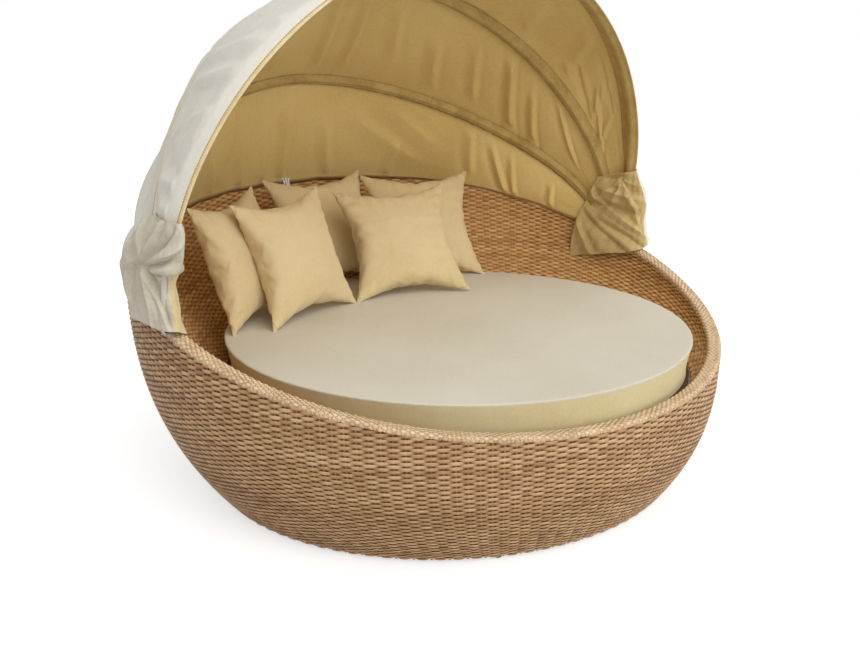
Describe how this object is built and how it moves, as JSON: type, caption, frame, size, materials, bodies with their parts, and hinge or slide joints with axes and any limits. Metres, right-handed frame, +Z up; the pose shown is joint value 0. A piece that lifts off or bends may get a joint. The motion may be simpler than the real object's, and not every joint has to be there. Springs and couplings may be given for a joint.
{
  "type": "outdoor daybed with canopy",
  "caption": "Round woven outdoor daybed with a raised back rim, a round mattress, loose pillows and a hooped cloth canopy that folds back on side pivots.",
  "frame": {"origin": "middle of the footprint box on the floor, on the bed's left-right centre plane", "axes": "+Z up, -Y towards the low front rim where a person sits down, +Y towards the raised back, +X to the right seen from the front"},
  "size_m": [2.1936, 2.008, 1.7958],
  "materials": {
    "frame_tube": "powder-coated round tube, welded",
    "weave": "honey-tan flat resin strand, woven",
    "rim_weave": "lighter flat resin strand, braided",
    "deck": "woven strap platform",
    "glide": "moulded floor glide",
    "mattress_fabric": "pale beige outdoor canvas, sewn",
    "foam": "open-cell foam core",
    "zip": "coil zip in the cover's seam",
    "pillow_fabric": "tan outdoor canvas, knife-edge seams",
    "bow_tube": "round tube with pressed ends",
    "steel": "plain zinc-plated fittings",
    "spacer": "moulded bush",
    "canopy_fabric": "cream outdoor canvas, sewn and gathered"
  },
  "bodies": {
    "bed": {"base_ring_tube": "frame_tube", "deck_ring_tube": "frame_tube", "rim_ring_tube": "frame_tube", "wall_rib_1": "frame_tube", "wall_rib_2": "frame_tube", "wall_rib_3": "frame_tube", "wall_rib_4": "frame_tube", "wall_rib_5": "frame_tube", "wall_rib_6": "frame_tube", "wall_rib_7": "frame_tube", "wall_rib_8": "frame_tube", "deck_leg_1": "frame_tube", "deck_leg_2": "frame_tube", "deck_leg_3": "frame_tube", "deck_leg_4": "frame_tube", "deck_leg_5": "frame_tube", "deck_leg_6": "frame_tube", "deck_beam_1": "frame_tube", "deck_beam_2": "frame_tube", "deck_beam_3": "frame_tube", "outer_weave": "weave", "inner_weave": "weave", "rim_braid": "rim_weave", "seat_deck": "deck", "glide_1": "glide", "glide_2": "glide", "glide_3": "glide", "glide_4": "glide", "glide_5": "glide", "glide_6": "glide", "mattress_cover": "mattress_fabric", "mattress_foam": "foam", "mattress_zip": "zip", "pillow_1": "pillow_fabric", "pillow_2": "pillow_fabric", "pillow_3": "pillow_fabric", "pillow_4": "pillow_fabric", "pillow_5": "pillow_fabric", "pivot_bracket_left": "steel", "pivot_bracket_right": "steel", "bracket_screw_left": "steel", "bracket_screw_right": "steel", "pivot_bolt_left": "steel", "pivot_bolt_right": "steel", "pivot_nut_left": "steel", "pivot_nut_right": "steel", "pivot_spacer_left_inner": "spacer", "pivot_spacer_left_outer": "spacer", "pivot_spacer_right_inner": "spacer", "pivot_spacer_right_outer": "spacer", "canopy_back": "canopy_fabric", "corner_flap_left": "canopy_fabric", "corner_flap_right": "canopy_fabric", "tie_strap": "canopy_fabric"},
    "rear_bow": {"bow_rear": "bow_tube", "canopy_middle": "canopy_fabric"},
    "mid_bow": {"bow_mid": "bow_tube", "canopy_front": "canopy_fabric", "canopy_visor": "canopy_fabric"},
    "front_bow": {"bow_front": "bow_tube"}
  },
  "joints": [
    {"name": "rear_bow_fold", "type": "hinge", "parent": "bed", "child": "rear_bow", "pos_m": [0, 0.006, 0.70962], "axis": [1, 0, 0], "range_deg": [-22.6, 0], "deforming": ["canopy_back", "corner_flap_left", "corner_flap_right"]},
    {"name": "mid_bow_fold", "type": "hinge", "parent": "rear_bow", "child": "mid_bow", "pos_m": [0, 0.006, 0.70962], "axis": [1, 0, 0], "range_deg": [-27.9, 0], "deforming": ["canopy_middle"]},
    {"name": "front_bow_fold", "type": "hinge", "parent": "mid_bow", "child": "front_bow", "pos_m": [0, 0.006, 0.70962], "axis": [1, 0, 0], "range_deg": [-22.3, 0], "deforming": ["canopy_front", "canopy_visor"]}
  ],
  "couplings": [
    {"joint": "mid_bow_fold", "follows": "rear_bow_fold", "ratio": 1.2345},
    {"joint": "front_bow_fold", "follows": "rear_bow_fold", "ratio": 0.9867}
  ]
}
